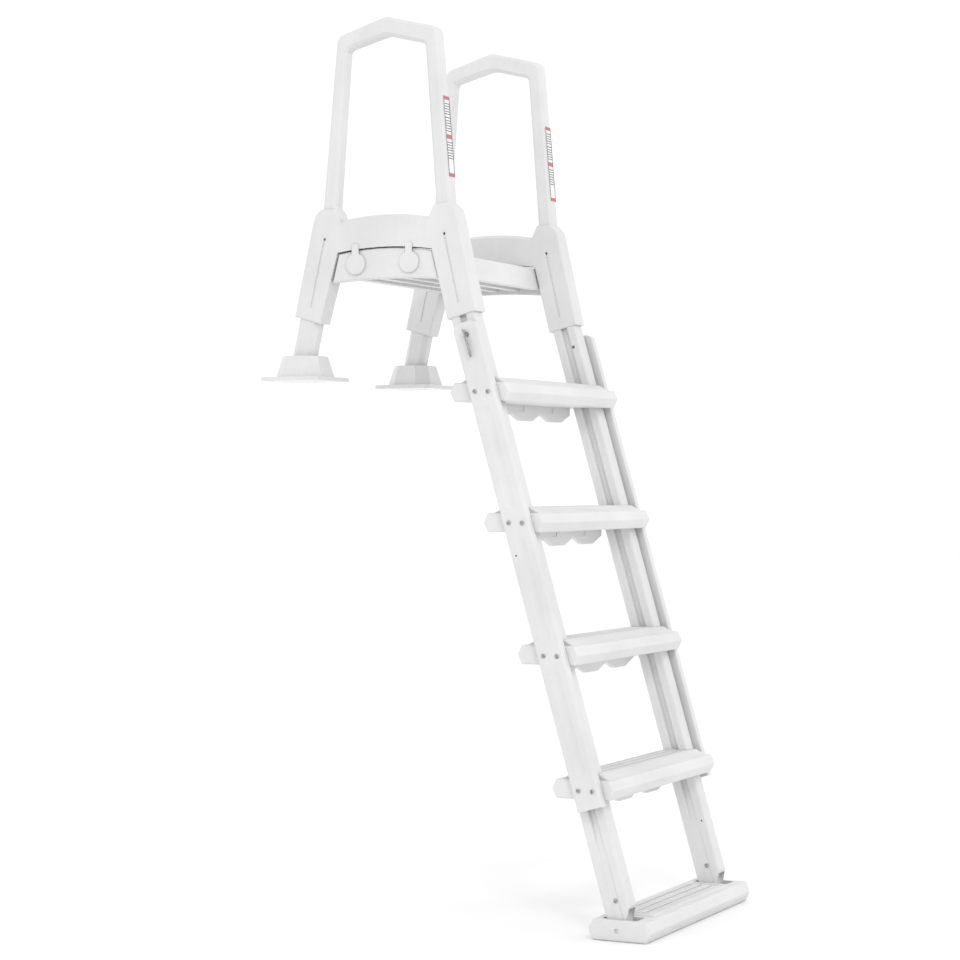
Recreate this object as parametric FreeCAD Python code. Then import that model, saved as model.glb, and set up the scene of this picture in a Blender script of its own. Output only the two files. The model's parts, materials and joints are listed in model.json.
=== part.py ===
import FreeCAD, Part
import math
import os
from FreeCAD import Vector

# Deck-mounted in-pool ladder. Millimetres, +Z up, pool floor at Z = 0, X across the ladder.
# The pool lies towards -Y and the deck towards +Y. Shapes are first built with Y = 0 at the
# middle of the handrails, and export() then moves them so that Y = 0 is the middle of the ladder.

# ---- driving dimensions ----
SIDE_SPACING = 535.0          # between the middles of the two handrails
DECK_HEIGHT = 1208.0          # pool wall height that the ladder is set to
RAIL_TOP = 2022.0             # peak of the handrails above the pool floor
FRONT_LEAN = 16.1             # stringers, degrees from vertical
REAR_LEAN = 12.5              # deck legs, degrees from vertical
TREAD_PITCH = 286.0           # vertical distance between treads
TREAD_COUNT = 4
TREAD_TOP_Z = 1176.0          # middle height of the highest tread
STRINGER_Y = -245.0           # stringer axis at the height of the highest tread
RUN_CLEAR = 0.5               # gap round a sliding leg in its sleeve
FACE_GAP = 0.3                # gap between moving faces

# ---- handrail ----
SLEEVE_HALF_X = 24.5
TUBE_HALF_X = 19.0
LOOP_REAR_CORNER = (124.5, 1986.0)
LOOP_FRONT_CORNER = (-131.0, 1989.0)
LOOP_INNER_PEAK = 1980.5
LOOP_INNER_CORNER = (100.0, 1955.0)
LOOP_INNER_FOOT = (127.0, 1601.0)
LOOP_REAR_FOOT = (164.0, 1567.0)
LOOP_FRONT_FOOT = (-167.0, 1567.0)
GUSSET_FOOT_Y = 108.0
SHOULDER = [(162.0, 1597.0), (177.0, 1583.0), (184.0, 1561.0)]
SLEEVE_OUTER_FOOT = (231.0, 1355.0)
SLEEVE_INNER_FOOT_Z = 1337.0
SLEEVE_INNER_FOOT_Y = {-1: 160.0, 1: 166.0}
ARCH_SIDE = (120.0, 1495.5)
ARCH_PEAK_Z = 1505.5
BAR_TOP_SIDE_Z = 1565.0
BAR_TOP_PEAK_Z = 1578.0
CROWN_BEVEL = 7.0
LOOP_BEVEL = 6.5
SLIT_WIDTH = 4.4
SLIT_TOP_HOLE_R = 3.2
SLIT_SPAN_Z = (1374.0, 1528.0)
SLIT_FOOT_Y = 188.0           # from the handrail's middle
SLIT_LEAN = 13.0
SLIT_DEPTH = 1.6              # moulded into the sleeve's wall
SLEEVE_BEVEL = 2.2
SLEEVE_INNER_TOP_Y = 112.0
SHOULDER_ROOT = (126.0, 1595.0)
CROSSBAR_REACH = 145.0        # into both sleeves
CROSSBAR_EDGE_DROP = 4.0
CROSSBAR_ROOT = 6.0
POCKET_ROUND = 5.0
POCKET_LENGTH = 400.0         # out past the sleeve's foot

# ---- platform ----
PLATFORM_TOP_GAP = 2.5
PLATFORM_SIDE_GAP = 2.5
PLATFORM_BOTTOM_Z = 1429.0
PLATFORM_UNDERSIDE_Z = 1442.0
PLATFORM_BOTTOM_RISE = 6.0
PLATFORM_INSET = 4.0          # end face set in from the crossbar's outer face
UNDER_RIB_PITCH = 58.0
UNDER_RIB_GAP = 36.0
UNDER_CHANNEL_DEPTH = 28.0
END_WALL = 22.0
PLATFORM_BEVEL = 2.5
GRIP_SIDE_MARGIN = 14.0       # grooves stop this far from the handrails
DOWEL_R = 5.0
DOWEL_LENGTH = 16.0
DOWEL_BITE = 7.0              # how far a dowel enters the handrail
DOWEL_Z = 1475.0
GRIP_ROWS = 7
GRIP_PITCH = 28.0
GRIP_GROOVE = 5.0

# ---- latches ----
LATCH_Y = (72.0, -64.0)
LATCH_Z = 1469.0
LATCH_R = 24.0
LATCH_TAB_REACH = 45.0
LATCH_TAB_WIDTH = 17.0
LATCH_TAB_THICK = 3.7
LATCH_SHAFT_R = 6.0
LATCH_SHAFT_LENGTH = 16.0
SHAFT_CLEAR = 0.08

# ---- safety labels ----
LABEL_SPAN_Z = (1655.0, 1835.0)
LABEL_HALF_X = 14.0
LABEL_THICK = 0.6

# ---- deck legs and flanges ----
LEG_MOUTH = (198.5, 1346.0)     # Y and Z where the leg axis leaves the sleeve
LEG_SIDE_X = 42.0
LEG_SIDE_V = 52.0
LEG_CHAMFER = 11.0
LEG_WALL = 4.0
LEG_TOP_Z = 1516.0
PLATE_SIDE = 150.0
PLATE_THICK = 9.0
PLATE_Y = 217.0
COLLAR_HEIGHT = 48.0
COLLAR_BOTTOM = 120.0
COLLAR_TOP = 92.0
COLLAR_CHAMFER = 30.0
BOLT_SPACING = 118.0
BOLT_HOLE_R = 4.0

# ---- stringers ----
STRINGER_X = 43.0
STRINGER_V = 60.0
GROOVE_WIDTH = 16.0
GROOVE_DEPTH = 9.0
STRINGER_FOOT_Z = 10.0
STRINGER_TOP_Z = 1415.0
POCKET_TOP_Z = 1458.0
GROOVE_FADE_START = 150.0     # along the stringer, from its foot
GROOVE_FADE_LENGTH = 130.0
LOBE_WALL = 3.4
TOE_TOP_Z = 75.0
TOE_SLOPE = 0.2
VIEW_HOLE_Z = 188.0           # small hole in the inner face, above the foot
VIEW_HOLE_FORWARD = 20.0
VIEW_HOLE_R = 2.0
CAVITY_START = 25.0           # solid foot of the stringer, along its axis
FOOT_ALLOWANCE = 60.0         # cut away level with the foot afterwards

# ---- treads ----
TREAD_HALF_X = 299.0
TREAD_HALF_Y = 73.0
TREAD_HALF_Z = 21.0
TREAD_BACK = 2.0              # middle of a tread behind the stringer axis
TREAD_NOSE = 10.0
TREAD_RAISE = 12.0
RAISE_HALF_X = 282.0
RAISE_SLOPE = 30.0            # width of the gentle ramp in front of and behind the walking surface
TREAD_GRIP_HALF_X = 204.0
TREAD_GRIP_PITCH = 20.0
GRIP_SHIFT = 6.0              # grooves lie this far behind the middle of the pad
GRIP_LINE = 6.0
GRIP_LINE_DEPTH = 2.5
END_SLOT = 5.0                # two slots past the end of the grooves
END_SLOT_STEPS = (10.0, 20.0)
END_SLOT_DEPTH = 4.0
TREAD_CORNER = 5.0
TREAD_BEVEL = 3.0
BAR_ROUND = 5.0
SLOT_CLEAR = 1.0
FIN_LOBES = 3
FIN_LOBE_PITCH = 160.0
FIN_Y = 33.0
FIN_WINDOW_OFFSET = -30.0
FIN_WINDOW_HALF_X = 16.0
FIN_WINDOW_DEPTH = 1.8
FIN_WINDOW_SPAN_Z = (-36.0, -23.0)
FIN_THICK = 12.0
FIN_WEB_Z = -40.0
FIN_LOBE_Z = -57.0
FIN_LOBE_FLAT = 65.0

# ---- outer rails ----
RAIL_THICK = 21.0
RAIL_V = 62.0
RAIL_FORWARD = 13.0           # rail axis ahead of the stringer axis, horizontally
RAIL_TOP_Z = 1328.0
RAIL_BOTTOM_Z = 279.0
RAIL_GROOVE_DEPTH = 2.4
RAIL_GROOVE_WIDTH = 24.0
RAIL_FOOT_WALL = 5.0
RAIL_FOOT_HOLLOW = 16.0
RAIL_CROWN_ROUND = 20.0
VENT_RISE = 72.0              # above the middle of the second and third treads
VENT_BACK = 19.0
VENT_R = 2.2
PAD_LENGTH = 64.0
PAD_SCREW_SPACING = 32.0

# ---- bottom tread ----
BASE_HALF_X = 305.0
BASE_HALF_Y = 72.0
BASE_FORWARD = 6.0            # middle of the bottom tread ahead of the stringer axis
BASE_HEIGHT = 45.0
BASE_NOSE = 10.0
BASE_CORNER = 14.0
BASE_PAD_HALF_X = 227.0
BASE_PAD_HALF_Y = 50.0
BASE_PAD_RAISE = 3.0
BASE_PAD_SLOPE = 4.0
BASE_GRIP_HALF_X = 193.0
BASE_GRIP_PITCH = 25.0
FILL_PLUG_R = 5.0
FILL_PLUG_BACK = 6.0
BASE_POCKET_REAR = 8.0
TONGUE_HALF_X = 11.0
TONGUE_HALF_V = 7.0
TONGUE_TOP = 108.0            # along the stringer, from its foot
TONGUE_GAP = 0.4
FOOT_SCREW_Z = 84.0
FOOT_SCREW_FORWARD = 3.0
FOOT_SCREW_LENGTH = 18.0

# ---- small hardware ----
SCREW_R = 2.5
SCREW_HOLE_R = 2.6
SCREW_HEAD_R = 5.0
SCREW_HEAD_H = 2.4
PIN_R = 4.0
PIN_HOLE_R = 4.08
PIN_Z = 1301.0
CLIP_WIRE_R = 1.8
CLIP_LENGTH = 50.0
CLIP_BOW = 8.5
CLIP_HOLE_R = 1.95
PIN_OUT = 9.0                 # how far the pin stands out of the rail

# ---- travel ----
STRINGER_TRAVEL = 40.0        # stringers up into the sleeves
CARRIAGE_DROP = 60.0          # treads down along the stringers, from where they are pinned
CARRIAGE_RISE = 10.0
SLOT_SPARE = 4.0

# ---- worked-out values ----
TAN_FRONT = math.tan(math.radians(FRONT_LEAN))
COS_FRONT = math.cos(math.radians(FRONT_LEAN))
TAN_REAR = math.tan(math.radians(REAR_LEAN))
COS_REAR = math.cos(math.radians(REAR_LEAN))
RAIL_X = TREAD_HALF_X + RAIL_THICK
BASE_Y = STRINGER_Y - (TREAD_TOP_Z - BASE_HEIGHT) * TAN_FRONT - BASE_FORWARD
FRONT_REACH = BASE_Y - BASE_HALF_Y
REAR_REACH = PLATE_Y + PLATE_SIDE / 2
ORIGIN_SHIFT = -(FRONT_REACH + REAR_REACH) / 2
SIDES = {"left": -1, "right": 1}


def stringer_y(z):
    """Y of the stringer axis at height z."""
    return STRINGER_Y - (TREAD_TOP_Z - z) * TAN_FRONT


def leg_y(z):
    """Y of the deck leg axis at height z."""
    return LEG_MOUTH[0] + (LEG_MOUTH[1] - z) * TAN_REAR


def corner_bend(before, corner, after):
    """Start, crest and end of the arc that rounds a corner; a sharp corner has no crest."""
    point = Vector(corner[0], corner[1], 0)
    if corner[2] == 0:
        return point, None, point
    back = (Vector(before[0], before[1], 0) - point).normalize()
    ahead = (Vector(after[0], after[1], 0) - point).normalize()
    half = back.getAngle(ahead) / 2
    reach = corner[2] / math.tan(half)
    crest = point + (back + ahead).normalize() * (corner[2] / math.sin(half) - corner[2])
    return point + back * reach, crest, point + ahead * reach


def path_edges(bends, to_space):
    """Arcs of the bends, and the straight lines between one bend and the next."""
    edges = []
    for (start, crest, end), following in zip(bends, bends[1:]):
        if crest is not None:
            edges.append(Part.Arc(to_space(start), to_space(crest), to_space(end)).toShape())
        if end.distanceToPoint(following[0]) > 1e-6:
            edges.append(Part.makeLine(to_space(end), to_space(following[0])))
    return edges


def rounded_wire(corners, to_space):
    """Closed wire through (a, b, radius) corners, each corner rounded by its radius."""
    count = len(corners)
    bends = [corner_bend(corners[i - 1], corners[i], corners[(i + 1) % count]) for i in range(count)]
    return Part.Wire(path_edges(bends + bends[:1], to_space))


def open_path(corners, to_space):
    """Open wire through (a, b, radius) corners; the first and last are its ends."""
    count = len(corners)
    bends = [corner_bend(corners[i - 1], corners[i], corners[(i + 1) % count]) for i in range(count)]
    return Part.Wire(path_edges(bends, to_space))


def side_prism(corners, x_low, x_high):
    """Side view outline, (y, z, radius) corners, given width along X."""
    wire = rounded_wire(corners, lambda p: Vector(x_low, p.x, p.y))
    return Part.Face(wire).extrude(Vector(x_high - x_low, 0, 0))


def section_prism(corners, z_low, z_high):
    """Section outline, (x, y, radius) corners, run along Z."""
    wire = rounded_wire(corners, lambda p: Vector(p.x, p.y, z_low))
    return Part.Face(wire).extrude(Vector(0, 0, z_high - z_low))


def rectangle(half_a, half_b, radius, centre_a=0.0, centre_b=0.0):
    """Corners of a rectangle with equal corner radii."""
    signs = [(-1, -1), (1, -1), (1, 1), (-1, 1)]
    return [(centre_a + i * half_a, centre_b + j * half_b, radius) for i, j in signs]


def chamfered_square(half_a, half_b, cut):
    """Corners of a rectangle with its corners cut off flat."""
    return [
        (-half_a + cut, -half_b, 0), (half_a - cut, -half_b, 0),
        (half_a, -half_b + cut, 0), (half_a, half_b - cut, 0),
        (half_a - cut, half_b, 0), (-half_a + cut, half_b, 0),
        (-half_a, half_b - cut, 0), (-half_a, -half_b + cut, 0),
    ]


def block(x0, x1, y0, y1, z0, z1):
    """Axis-aligned box from its limits."""
    return Part.makeBox(x1 - x0, y1 - y0, z1 - z0, Vector(x0, y0, z0))


def lean(shape, degrees, x, y, z):
    """Tip a shape about X and move its origin to a point."""
    copy = shape.copy()
    copy.rotate(Vector(0, 0, 0), Vector(1, 0, 0), degrees)
    copy.translate(Vector(x, y, z))
    return copy


def on_stringer(shape, x, z):
    """Place a shape built along +Z onto the stringer axis at height z."""
    return lean(shape, -FRONT_LEAN, x, stringer_y(z), z)


def on_leg(shape, x, z):
    """Place a shape built along +Z onto the deck leg axis at height z."""
    return lean(shape, REAR_LEAN, x, leg_y(z), z)


def mirrored(shape):
    """The same shape on the other side of the ladder."""
    return shape.mirror(Vector(0, 0, 0), Vector(1, 0, 0))


def edges_at_x(shape, *positions):
    """Edges that lie wholly in one of the given X planes."""
    chosen = []
    for edge in shape.Edges:
        box = edge.BoundBox
        if any(abs(box.XMin - x) < 1e-4 and abs(box.XMax - x) < 1e-4 for x in positions):
            chosen.append(edge)
    return chosen


def bevelled(shape, size, x_low, x_high):
    """Bevel the rims of a side prism's two flat faces."""
    return shape.makeChamfer(size, edges_at_x(shape, x_low, x_high))


def pan_screw(length, direction):
    """Pan head screw along X: the head's seat is at the origin, the shank runs along direction."""
    shank = Part.makeCylinder(SCREW_R, length, Vector(0, 0, 0), Vector(direction, 0, 0))
    head = Part.makeCylinder(SCREW_HEAD_R, SCREW_HEAD_H, Vector(0, 0, 0), Vector(-direction, 0, 0))
    rim = edges_at_x(head, -direction * SCREW_HEAD_H)
    head = head.makeChamfer(SCREW_HEAD_H * 0.4, rim)
    slot_depth = SCREW_HEAD_H * 0.5
    x_outer = -direction * SCREW_HEAD_H
    x_inner = x_outer + direction * slot_depth
    low, high = sorted((x_outer, x_inner))
    recess = block(low, high, -2.2, 2.2, -0.5, 0.5).fuse(block(low, high, -0.5, 0.5, -2.2, 2.2))
    return shank.fuse(head).cut(recess).removeSplitter()


def screw_hole(length, direction):
    """Hole for a pan head screw, from the origin along direction."""
    start = Vector(-direction, 0, 0)
    return Part.makeCylinder(SCREW_HOLE_R, length + 1, start, Vector(direction, 0, 0))


# ---- handrail ----
def handle_loop():
    """Closed hand loop with a peaked top, standing on the crossbar."""
    outer = [
        LOOP_REAR_FOOT + (0,), LOOP_REAR_CORNER + (24,), (0, RAIL_TOP, 40),
        LOOP_FRONT_CORNER + (24,), LOOP_FRONT_FOOT + (0,),
    ]
    in_corner_y, in_corner_z = LOOP_INNER_CORNER
    foot_y, foot_z = LOOP_INNER_FOOT
    inner = [
        (GUSSET_FOOT_Y, BAR_TOP_SIDE_Z, 0), (foot_y, foot_z, 8),
        (in_corner_y, in_corner_z, 12), (0, LOOP_INNER_PEAK, 40), (-in_corner_y, in_corner_z, 12),
        (-foot_y, foot_z, 8), (-GUSSET_FOOT_Y, BAR_TOP_SIDE_Z, 0),
    ]
    shell = side_prism(outer, -TUBE_HALF_X, TUBE_HALF_X)
    opening = side_prism(inner, -TUBE_HALF_X - 1, TUBE_HALF_X + 1)
    return bevelled(shell.cut(opening), LOOP_BEVEL, -TUBE_HALF_X, TUBE_HALF_X)


def crossbar():
    """Bowed bar between the two sleeves, with a bevelled top edge."""
    top_side = BAR_TOP_SIDE_Z - CROSSBAR_EDGE_DROP
    root = ARCH_SIDE[0] + CROSSBAR_ROOT
    points = [
        Vector(-SLEEVE_HALF_X, -CROSSBAR_REACH, top_side), Vector(-SLEEVE_HALF_X, 0, BAR_TOP_PEAK_Z),
        Vector(-SLEEVE_HALF_X, CROSSBAR_REACH, top_side), Vector(-SLEEVE_HALF_X, root, ARCH_SIDE[1]),
        Vector(-SLEEVE_HALF_X, 0, ARCH_PEAK_Z), Vector(-SLEEVE_HALF_X, -root, ARCH_SIDE[1]),
    ]
    wire = Part.Wire([
        Part.Arc(points[0], points[1], points[2]).toShape(), Part.makeLine(points[2], points[3]),
        Part.Arc(points[3], points[4], points[5]).toShape(), Part.makeLine(points[5], points[0]),
    ])
    bar = Part.Face(wire).extrude(Vector(2 * SLEEVE_HALF_X, 0, 0))
    rims = edges_at_x(bar, -SLEEVE_HALF_X, SLEEVE_HALF_X)
    crown = [edge for edge in rims if edge.BoundBox.ZMax > BAR_TOP_SIDE_Z + 5]
    return bar.makeChamfer(CROWN_BEVEL, crown)


def sleeve(sign):
    """Tapered hollow leg of the handrail, before its pocket; sign -1 is the pool side."""
    corners = [(sign * y, z, 4) for y, z in SHOULDER]
    corners.append((sign * SLEEVE_OUTER_FOOT[0], SLEEVE_OUTER_FOOT[1], 0))
    corners.append((sign * SLEEVE_INNER_FOOT_Y[sign], SLEEVE_INNER_FOOT_Z, 0))
    corners.append((sign * ARCH_SIDE[0], ARCH_SIDE[1], 0))
    corners.append((sign * SLEEVE_INNER_TOP_Y, BAR_TOP_SIDE_Z, 0))
    corners.append((sign * SHOULDER_ROOT[0], SHOULDER_ROOT[1], 0))
    body = side_prism(corners, -SLEEVE_HALF_X, SLEEVE_HALF_X)
    return bevelled(body, SLEEVE_BEVEL, -SLEEVE_HALF_X, SLEEVE_HALF_X)


def slit(sign):
    """Long narrow groove in both faces of a sleeve, with a round hole through both walls at its top."""
    length = (SLIT_SPAN_Z[1] - SLIT_SPAN_Z[0]) / math.cos(math.radians(SLIT_LEAN))
    outer = SLEEVE_HALF_X + 1
    bottom = SLEEVE_HALF_X - SLIT_DEPTH
    cutter = Part.makeCylinder(SLIT_TOP_HOLE_R, 2 * outer, Vector(-outer, 0, length), Vector(1, 0, 0))
    for low, high in ((-outer, -bottom), (bottom, outer)):
        cutter = cutter.fuse(block(low, high, -SLIT_WIDTH / 2, SLIT_WIDTH / 2, 0, length))
    return lean(cutter, sign * SLIT_LEAN, 0, sign * SLIT_FOOT_Y, SLIT_SPAN_Z[0])


def handrail(side):
    """One blow-moulded handrail: loop, crossbar and two sleeves with their pockets."""
    x = side * SIDE_SPACING / 2
    body = crossbar().fuse([sleeve(-1), sleeve(1), handle_loop()]).removeSplitter()
    front = section_prism(
        rectangle(STRINGER_X / 2 + RUN_CLEAR, STRINGER_V / 2 + RUN_CLEAR, POCKET_ROUND), -POCKET_LENGTH, 0)
    rear = section_prism(
        chamfered_square(LEG_SIDE_X / 2 + RUN_CLEAR, LEG_SIDE_V / 2 + RUN_CLEAR, LEG_CHAMFER),
        -POCKET_LENGTH, 0)
    body = body.cut(on_stringer(front, 0, POCKET_TOP_Z))
    body = body.cut(on_leg(rear, 0, LEG_TOP_Z + 6))
    body = body.cut(slit(-1)).cut(slit(1))
    body.translate(Vector(x, 0, 0))
    return body.cut([dowel(x, -1), dowel(x, 1)])


# ---- platform ----
def platform_edge(z):
    """Half depth of the platform at height z, a gap inside the sleeves."""
    slope = (SLEEVE_INNER_FOOT_Y[-1] - ARCH_SIDE[0]) / (ARCH_SIDE[1] - SLEEVE_INNER_FOOT_Z)
    return ARCH_SIDE[0] + (ARCH_SIDE[1] - z) * slope - PLATFORM_SIDE_GAP


def dowel(x, sign):
    """Short pin that carries the platform's corner in the sleeve wall."""
    reach = platform_edge(DOWEL_Z) + PLATFORM_SIDE_GAP + DOWEL_BITE
    start = Vector(x, sign * (reach - DOWEL_LENGTH), DOWEL_Z)
    return Part.makeCylinder(DOWEL_R, DOWEL_LENGTH, start, Vector(0, sign, 0))


def platform():
    """Step platform between the handrails, crowned on top and ribbed underneath."""
    half_x = SIDE_SPACING / 2 + SLEEVE_HALF_X - PLATFORM_INSET
    top_side = ARCH_SIDE[1] - PLATFORM_TOP_GAP
    top_peak = ARCH_PEAK_Z - PLATFORM_TOP_GAP
    low_y = platform_edge(PLATFORM_BOTTOM_Z)
    high_y = platform_edge(top_side)
    points = [
        Vector(-half_x, -low_y, PLATFORM_BOTTOM_Z),
        Vector(-half_x, 0, PLATFORM_BOTTOM_Z + PLATFORM_BOTTOM_RISE),
        Vector(-half_x, low_y, PLATFORM_BOTTOM_Z),
        Vector(-half_x, high_y, top_side), Vector(-half_x, 0, top_peak),
        Vector(-half_x, -high_y, top_side),
    ]
    wire = Part.Wire([
        Part.Arc(points[0], points[1], points[2]).toShape(), Part.makeLine(points[2], points[3]),
        Part.Arc(points[3], points[4], points[5]).toShape(), Part.makeLine(points[5], points[0]),
    ])
    slab = Part.Face(wire).extrude(Vector(2 * half_x, 0, 0))
    slab = bevelled(slab, PLATFORM_BEVEL, -half_x, half_x)
    channel_reach = half_x - END_WALL
    slab = slab.cut(block(-channel_reach, channel_reach, -200, 200, PLATFORM_BOTTOM_Z - 5,
                          PLATFORM_UNDERSIDE_Z))
    for row in (-1.5, -0.5, 0.5, 1.5):
        y = row * UNDER_RIB_PITCH
        roof = PLATFORM_UNDERSIDE_Z + UNDER_CHANNEL_DEPTH
        channel = block(-channel_reach, channel_reach, y - UNDER_RIB_GAP / 2, y + UNDER_RIB_GAP / 2,
                        PLATFORM_BOTTOM_Z - 5, roof)
        slab = slab.cut(channel)
    inner_x = SIDE_SPACING / 2 - SLEEVE_HALF_X - GRIP_SIDE_MARGIN
    for row in range(GRIP_ROWS):
        y = (row - (GRIP_ROWS - 1) / 2) * GRIP_PITCH
        groove = block(-inner_x, inner_x, y - GRIP_GROOVE / 2, y + GRIP_GROOVE / 2,
                       top_side - 2, top_peak + 5)
        slab = slab.cut(groove.common(block(-inner_x, inner_x, -200, 200, top_side, top_peak + 5)))
    for side in SIDES.values():
        x = side * SIDE_SPACING / 2
        slab = slab.cut([dowel(x, -1), dowel(x, 1)])
        for y in LATCH_Y:
            start = Vector(side * (half_x + 1), y, LATCH_Z)
            bore = Part.makeCylinder(LATCH_SHAFT_R + SHAFT_CLEAR, LATCH_SHAFT_LENGTH + 2, start,
                                     Vector(-side, 0, 0))
            slab = slab.cut(bore)
    return slab


def latch(side, y):
    """Turn latch: a disc on the platform's end with a tab that covers the gap to the crossbar."""
    face_x = SIDE_SPACING / 2 + SLEEVE_HALF_X - PLATFORM_INSET
    bar_x = SIDE_SPACING / 2 + SLEEVE_HALF_X
    outer_x = bar_x + FACE_GAP + LATCH_TAB_THICK
    disc = Part.makeCylinder(LATCH_R, outer_x - face_x - FACE_GAP, Vector(face_x + FACE_GAP, y, LATCH_Z),
                             Vector(1, 0, 0))
    disc = disc.makeChamfer(2.0, edges_at_x(disc, outer_x))
    shaft = Part.makeCylinder(LATCH_SHAFT_R, LATCH_SHAFT_LENGTH + 1,
                              Vector(face_x - LATCH_SHAFT_LENGTH, y, LATCH_Z), Vector(1, 0, 0))
    half = LATCH_TAB_WIDTH / 2
    tab = side_prism([
        (y - half, LATCH_Z, 0), (y + half, LATCH_Z, 0),
        (y + half, LATCH_Z + LATCH_TAB_REACH, 4), (y - half, LATCH_Z + LATCH_TAB_REACH, 4),
    ], bar_x + FACE_GAP, outer_x)
    tab = tab.makeChamfer(1.2, [e for e in edges_at_x(tab, outer_x) if e.BoundBox.ZMax > LATCH_Z + 1])
    knob = disc.fuse([shaft, tab]).removeSplitter()
    return knob if side > 0 else mirrored(knob)


# ---- labels ----
def front_tube_y(z):
    """Y of the loop's pool-side face at height z."""
    foot_y, foot_z = LOOP_FRONT_FOOT
    corner_y, corner_z = LOOP_FRONT_CORNER
    return foot_y + (z - foot_z) * (corner_y - foot_y) / (corner_z - foot_z)


def label(side):
    """Plain decal strip on the pool-side face of the loop."""
    low, high = LABEL_SPAN_Z
    corners = [
        (front_tube_y(low), low, 0), (front_tube_y(high), high, 0),
        (front_tube_y(high) - LABEL_THICK, high, 0), (front_tube_y(low) - LABEL_THICK, low, 0),
    ]
    x = side * SIDE_SPACING / 2
    return side_prism(corners, x - LABEL_HALF_X, x + LABEL_HALF_X)


# ---- deck legs and flanges ----
def deck_leg(side):
    """Hollow leg with chamfered corners, standing on the deck plate and rising into the sleeve."""
    base_z = DECK_HEIGHT + PLATE_THICK
    length = (LEG_TOP_Z - base_z) / COS_REAR + 20
    outer = section_prism(chamfered_square(LEG_SIDE_X / 2, LEG_SIDE_V / 2, LEG_CHAMFER), -20, length - 20)
    inner = section_prism(
        chamfered_square(LEG_SIDE_X / 2 - LEG_WALL, LEG_SIDE_V / 2 - LEG_WALL, LEG_CHAMFER - 2),
        -21, length)
    tube = on_leg(outer.cut(inner), side * SIDE_SPACING / 2, base_z)
    below = block(-500, 500, 100, 400, base_z - 60, base_z)
    return tube.cut(below)


def deck_flange(side):
    """Square deck plate with a tapered collar that holds the leg's foot."""
    x = side * SIDE_SPACING / 2
    z0 = DECK_HEIGHT
    plate = section_prism(rectangle(PLATE_SIDE / 2, PLATE_SIDE / 2, 7), z0, z0 + PLATE_THICK)
    top_rim = [e for e in plate.Edges if e.BoundBox.ZMin > z0 + PLATE_THICK - 1e-4]
    plate = plate.makeChamfer(2.5, top_rim)
    base_wire = rounded_wire(
        chamfered_square(COLLAR_BOTTOM / 2, COLLAR_BOTTOM / 2, COLLAR_CHAMFER),
        lambda p: Vector(p.x, p.y, z0 + PLATE_THICK - 1))
    top_wire = rounded_wire(
        chamfered_square(COLLAR_TOP / 2, COLLAR_TOP / 2, COLLAR_CHAMFER * COLLAR_TOP / COLLAR_BOTTOM),
        lambda p: Vector(p.x, p.y, z0 + PLATE_THICK + COLLAR_HEIGHT))
    collar = Part.makeLoft([base_wire, top_wire], True, True)
    body = plate.fuse(collar).removeSplitter()
    half = BOLT_SPACING / 2
    for i in (-1, 1):
        for j in (-1, 1):
            hole = Part.makeCylinder(BOLT_HOLE_R, PLATE_THICK + 2, Vector(i * half, j * half, z0 - 1))
            body = body.cut(hole)
    body.translate(Vector(x, PLATE_Y, 0))
    socket = section_prism(chamfered_square(LEG_SIDE_X / 2, LEG_SIDE_V / 2, LEG_CHAMFER), -30, 100)
    socket = on_leg(socket, x, z0 + PLATE_THICK)
    keep = block(x - 100, x + 100, PLATE_Y - 100, PLATE_Y + 100, z0 + PLATE_THICK, z0 + 200)
    body = body.cut(socket.common(keep))
    seat = collar_screw_seat(side)
    body = body.cut(Part.makeCylinder(SCREW_HOLE_R, 30, seat, Vector(0, -1, 0)))
    body = body.cut(Part.makeCylinder(SCREW_HEAD_R + 1, 20, seat, Vector(0, 1, 0)))
    return body


def collar_screw_seat(side):
    """Where the leg's locking screw seats in the rear of the collar."""
    z = DECK_HEIGHT + PLATE_THICK + COLLAR_HEIGHT / 2
    return Vector(side * SIDE_SPACING / 2, PLATE_Y + COLLAR_TOP / 2 + 1, z)


def leg_screw(side):
    """Screw through the rear of the collar, which locks the leg's foot."""
    seat = collar_screw_seat(side)
    screw = pan_screw(15.0, -1)
    screw.rotate(Vector(0, 0, 0), Vector(0, 0, 1), 90)
    screw.translate(seat)
    return screw


# ---- stringers ----
def stringer_section():
    """Dog-bone section: two round-cornered lobes joined by a web."""
    half_x = STRINGER_X / 2
    half_v = STRINGER_V / 2
    half_g = GROOVE_WIDTH / 2
    waist = half_x - GROOVE_DEPTH
    return [
        (-half_x, -half_v, 6), (half_x, -half_v, 6), (half_x, -half_g, 4),
        (waist, -half_g + 2, 2), (waist, half_g - 2, 2), (half_x, half_g, 4),
        (half_x, half_v, 6), (-half_x, half_v, 6), (-half_x, half_g, 4),
        (-waist, half_g - 2, 2), (-waist, -half_g + 2, 2), (-half_x, -half_g, 4),
    ]


def groove_fill():
    """Fills the lower end of both grooves, with a long ramp where each groove runs out."""
    half_x = STRINGER_X / 2
    waist = half_x - GROOVE_DEPTH
    half_g = GROOVE_WIDTH / 2 + 1
    end = GROOVE_FADE_START + GROOVE_FADE_LENGTH
    points = [(-half_x, -FOOT_ALLOWANCE), (half_x, -FOOT_ALLOWANCE), (half_x, GROOVE_FADE_START),
              (waist, end), (-waist, end), (-half_x, GROOVE_FADE_START)]
    wire = Part.makePolygon([Vector(x, -half_g, z) for x, z in points + points[:1]])
    return Part.Face(wire).extrude(Vector(0, 2 * half_g, 0))


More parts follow.
